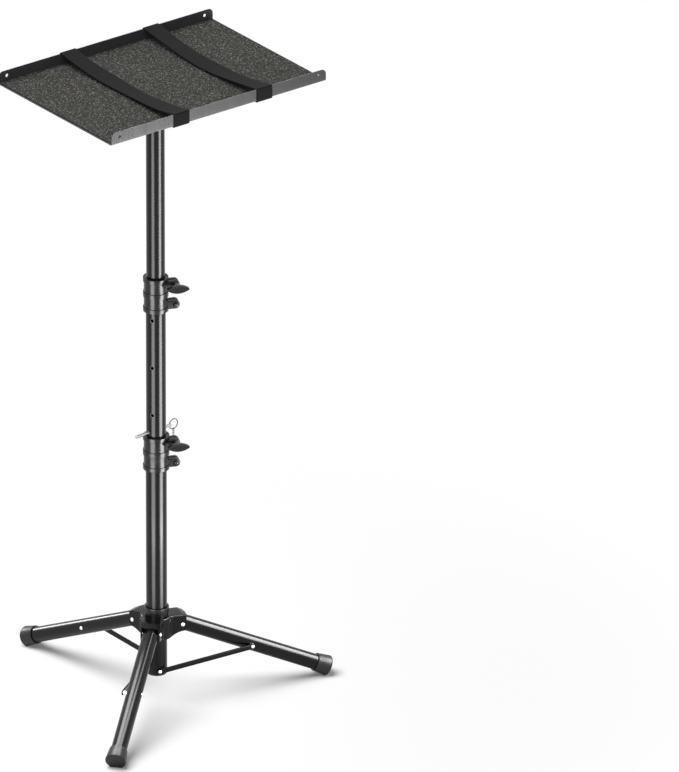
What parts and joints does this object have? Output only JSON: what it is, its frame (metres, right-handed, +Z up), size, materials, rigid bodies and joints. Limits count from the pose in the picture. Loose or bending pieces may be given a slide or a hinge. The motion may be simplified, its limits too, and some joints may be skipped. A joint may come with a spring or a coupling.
{
  "type": "portable projector stand",
  "caption": "Telescoping tripod stand with a lipped tray, clamp collars with hand knobs, a chained locking pin, folding braced legs and webbing tie-down straps.",
  "frame": {"origin": "middle of the whole stand's box, on the floor", "axes": "+Z up along the column, +X along the tray's long side, -Y towards the tray's front"},
  "size_m": [0.5392, 0.516, 1.1704],
  "materials": {
    "column_paint": "satin",
    "tray_paint": "satin",
    "black_plastic": "matte",
    "grip_mat": "matte",
    "foot_rubber": "matte",
    "webbing": "matte",
    "pin_chrome": "polished",
    "bright_steel": "bright"
  },
  "bodies": {
    "column": {"lower_tube": "column_paint", "tube_end_cap": "black_plastic", "brace_studs": "bright_steel", "lower_collar": "black_plastic", "lower_collar_nut": "bright_steel", "lower_collar_bolt": "bright_steel"},
    "hub": {"leg_hub": "black_plastic", "hub_ring": "black_plastic", "leg_rivets": "bright_steel"},
    "mid_section": {"mid_tube": "column_paint", "upper_collar": "black_plastic", "upper_collar_nut": "bright_steel", "upper_collar_bolt": "bright_steel"},
    "upper_section": {"upper_tube": "column_paint"},
    "tray": {"tray_plate": "tray_paint", "tray_mat": "grip_mat", "tray_flange": "tray_paint", "tray_screws": "bright_steel", "strap_left": "webbing", "strap_right": "webbing"},
    "pin": {"lock_pin": "pin_chrome", "pin_ring": "pin_chrome", "pin_chain": "pin_chrome"},
    "lower_clamp": {"lower_knob": "black_plastic", "lower_knob_screw": "bright_steel"},
    "upper_clamp": {"upper_knob": "black_plastic", "upper_knob_screw": "bright_steel"},
    "leg_1": {"leg_1": "column_paint", "foot_1": "foot_rubber", "leg_rivet_1": "bright_steel"},
    "brace_1": {"brace_1": "column_paint", "brace_rivet_1": "bright_steel"},
    "leg_2": {"leg_2": "column_paint", "foot_2": "foot_rubber", "leg_rivet_2": "bright_steel"},
    "brace_2": {"brace_2": "column_paint", "brace_rivet_2": "bright_steel"},
    "leg_3": {"leg_3": "column_paint", "foot_3": "foot_rubber", "leg_rivet_3": "bright_steel"},
    "brace_3": {"brace_3": "column_paint", "brace_rivet_3": "bright_steel"}
  },
  "joints": [
    {"name": "hub_slide", "type": "slide", "parent": "column", "child": "hub", "axis": [0, 0, 1], "range_m": [0, 0.21522]},
    {"name": "mid_slide", "type": "slide", "parent": "column", "child": "mid_section", "axis": [0, 0, 1], "range_m": [-0.005, 0.158]},
    {"name": "upper_slide", "type": "slide", "parent": "mid_section", "child": "upper_section", "axis": [0, 0, -1], "range_m": [0, 0.205]},
    {"name": "tray_swivel", "type": "hinge", "parent": "upper_section", "child": "tray", "pos_m": [-0.02476, -0.04894, 1.1465], "axis": [0, 0, 1], "range_deg": [0, 180]},
    {"name": "pin_slide", "type": "slide", "parent": "mid_section", "child": "pin", "axis": [0.9976, 0.0698, 0], "range_m": [0, 0.075]},
    {"name": "lower_knob_turn", "type": "hinge", "parent": "column", "child": "lower_clamp", "pos_m": [0.00539, -0.06236, 0.4715], "axis": [-0.4067, -0.9135, 0], "range_deg": [0, 270]},
    {"name": "upper_knob_turn", "type": "hinge", "parent": "mid_section", "child": "upper_clamp", "pos_m": [0.00539, -0.06236, 0.7655], "axis": [-0.4067, -0.9135, 0], "range_deg": [0, 270]},
    {"name": "leg_1_fold", "type": "hinge", "parent": "hub", "child": "leg_1", "pos_m": [0.01471, -0.0633, 0.133], "axis": [0.342, 0.9397, 0], "range_deg": [0, 65.41]},
    {"name": "brace_1_fold", "type": "hinge", "parent": "column", "child": "brace_1", "pos_m": [-0.02476, -0.04894, 0.052], "axis": [-0.342, -0.9397, 0], "range_deg": [0, 66.85]},
    {"name": "leg_2_fold", "type": "hinge", "parent": "hub", "child": "leg_2", "pos_m": [-0.03205, -0.00758, 0.133], "axis": [-0.9848, -0.1736, 0], "range_deg": [0, 65.41]},
    {"name": "brace_2_fold", "type": "hinge", "parent": "column", "child": "brace_2", "pos_m": [-0.02476, -0.04894, 0.052], "axis": [0.9848, 0.1736, 0], "range_deg": [0, 66.85]},
    {"name": "leg_3_fold", "type": "hinge", "parent": "hub", "child": "leg_3", "pos_m": [-0.05693, -0.07594, 0.133], "axis": [0.6428, -0.766, 0], "range_deg": [0, 65.41]},
    {"name": "brace_3_fold", "type": "hinge", "parent": "column", "child": "brace_3", "pos_m": [-0.02476, -0.04894, 0.052], "axis": [-0.6428, 0.766, 0], "range_deg": [0, 66.85]}
  ],
  "couplings": [
    {"joint": "leg_1_fold", "follows": "hub_slide", "rad_per_m": 5.3036},
    {"joint": "brace_1_fold", "follows": "hub_slide", "rad_per_m": 5.4201},
    {"joint": "leg_2_fold", "follows": "hub_slide", "rad_per_m": 5.3036},
    {"joint": "brace_2_fold", "follows": "hub_slide", "rad_per_m": 5.4201},
    {"joint": "leg_3_fold", "follows": "hub_slide", "rad_per_m": 5.3036},
    {"joint": "brace_3_fold", "follows": "hub_slide", "rad_per_m": 5.4201}
  ]
}
